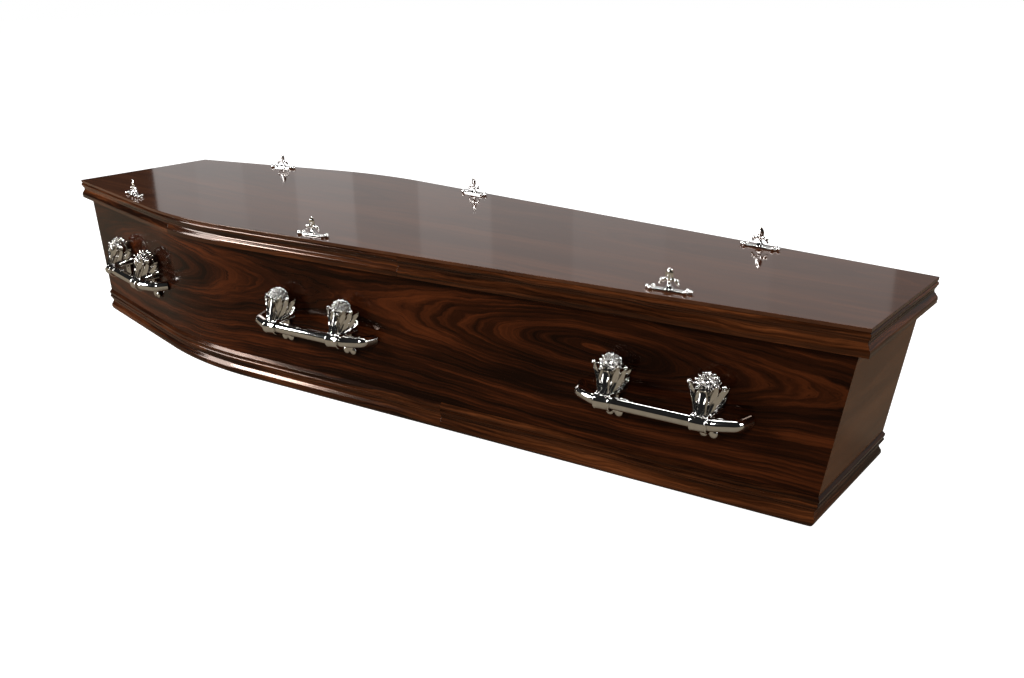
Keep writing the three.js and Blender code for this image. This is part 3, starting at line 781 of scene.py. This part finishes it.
FLOOR_HALF = 30
FLOOR_GREY = (0.45, 0.45, 0.45, 1)
FLOOR_SHADE = (0.18, 0.152, 0.113, 1)
ROOM_GLOW = 0.015
floor_bm = bmesh.new()
bmesh.ops.create_grid(floor_bm, x_segments=1, y_segments=1, size=FLOOR_HALF)
floor_mesh = bpy.data.meshes.new("floor")
floor_bm.to_mesh(floor_mesh)
floor_bm.free()
floor = bpy.data.objects.new("floor", floor_mesh)
bpy.context.scene.collection.objects.link(floor)
pale, tree, skin = new_material("pale floor")
skin.inputs["Base Color"].default_value = FLOOR_GREY
skin.inputs["Roughness"].default_value = 0.9
skin.inputs["Specular IOR Level"].default_value = 0.0
dull = add_node(tree, "BsdfDiffuse", {"Color": FLOOR_SHADE})
seen = add_node(tree, "LightPath").outputs["Is Camera Ray"]
bright = add_node(tree, "Emission", {"Color": (1, 1, 1, 1), "Strength": 1.0})
shine = add_node(tree, "AddShader", {0: skin.outputs[0], 1: bright.outputs[0]})
choice = add_node(tree, "MixShader", {0: seen, 1: dull.outputs[0], 2: shine.outputs[0]})
tree.links.new(choice.outputs[0], tree.nodes["Material Output"].inputs["Surface"])
floor_mesh.materials.append(pale)

world = bpy.data.worlds.new("studio")
bpy.context.scene.world = world
world.use_nodes = True
tree = world.node_tree
seen = add_node(tree, "LightPath").outputs["Is Camera Ray"]
strength = calculate(tree, "MULTIPLY_ADD", seen, 1 - ROOM_GLOW, ROOM_GLOW)
tree.links.new(strength, tree.nodes["Background"].inputs["Strength"])
tree.nodes["Background"].inputs["Color"].default_value = (1, 1, 1, 1)

BACKDROP_FOLDS = (1.0, 1.06, 0.97, 1.16, 0.9, 1.12, 0.94, 1.06, 1.0, 0.92)
BACKDROP_START = -5.05
FOLD_WIDTH = 0.53
FOLD_POWER = 2.4


def add_soft_box(name, place, target, width, height, power):
    """A rectangular lamp at place, turned towards target."""
    light = bpy.data.lights.new(name, "AREA")
    light.shape = "RECTANGLE"
    light.size = width
    light.size_y = height
    light.energy = power
    box = bpy.data.objects.new(name, light)
    box.location = place
    box.rotation_euler = (Vector(target) - Vector(place)).to_track_quat("-Z", "Y").to_euler()
    bpy.context.scene.collection.objects.link(box)


for number, share in enumerate(BACKDROP_FOLDS):
    x = BACKDROP_START + (number + 0.5) * FOLD_WIDTH
    power = FOLD_POWER * share
    add_soft_box(f"backdrop fold {number}", (x, 2.5, 1.3), (x, 0, 1.3), FOLD_WIDTH, 3.0, power)
add_soft_box("dim wall", (2.25, 2.5, 1.3), (2.25, 0, 1.3), 4.0, 3.0, 9)
add_soft_box("overhead", (0.1, 0.1, 2.6), (0.1, -0.1, 0.3), 3.4, 0.5, 45)
add_soft_box("right box", (3.1, 0.2, 1.3), (1, 0, 0.2), 1.0, 1.0, 26)
add_soft_box("left box", (-2.9, -2.2, 1.1), (-0.4, -0.2, 0.3), 0.9, 1.8, 75)
add_soft_box("far left box", (-3.2, -3.2, 2.0), (-0.5, -0.2, 0.2), 0.8, 0.8, 130)
add_soft_box("front box", (1.7, -3.0, 2.6), (0.2, -0.3, 0.1), 0.7, 0.7, 75)

FOCAL_LENGTH = 34.335
CAMERA_PLACE = (1.39705, -1.44986, 0.78849)
YAW, PITCH, ROLL = (math.radians(angle) for angle in (38.46, -19.87, -0.86))
camera_data = bpy.data.cameras.new("camera")
camera_data.lens = FOCAL_LENGTH
camera_data.sensor_width = 36.0
camera = bpy.data.objects.new("camera", camera_data)
camera.matrix_world = (Matrix.Translation(CAMERA_PLACE) @ Matrix.Rotation(YAW, 4, "Z")
                       @ Matrix.Rotation(math.pi / 2 + PITCH, 4, "X") @ Matrix.Rotation(ROLL, 4, "Z"))
bpy.context.scene.collection.objects.link(camera)
bpy.context.scene.camera = camera
bpy.context.scene.view_settings.view_transform = "Standard"
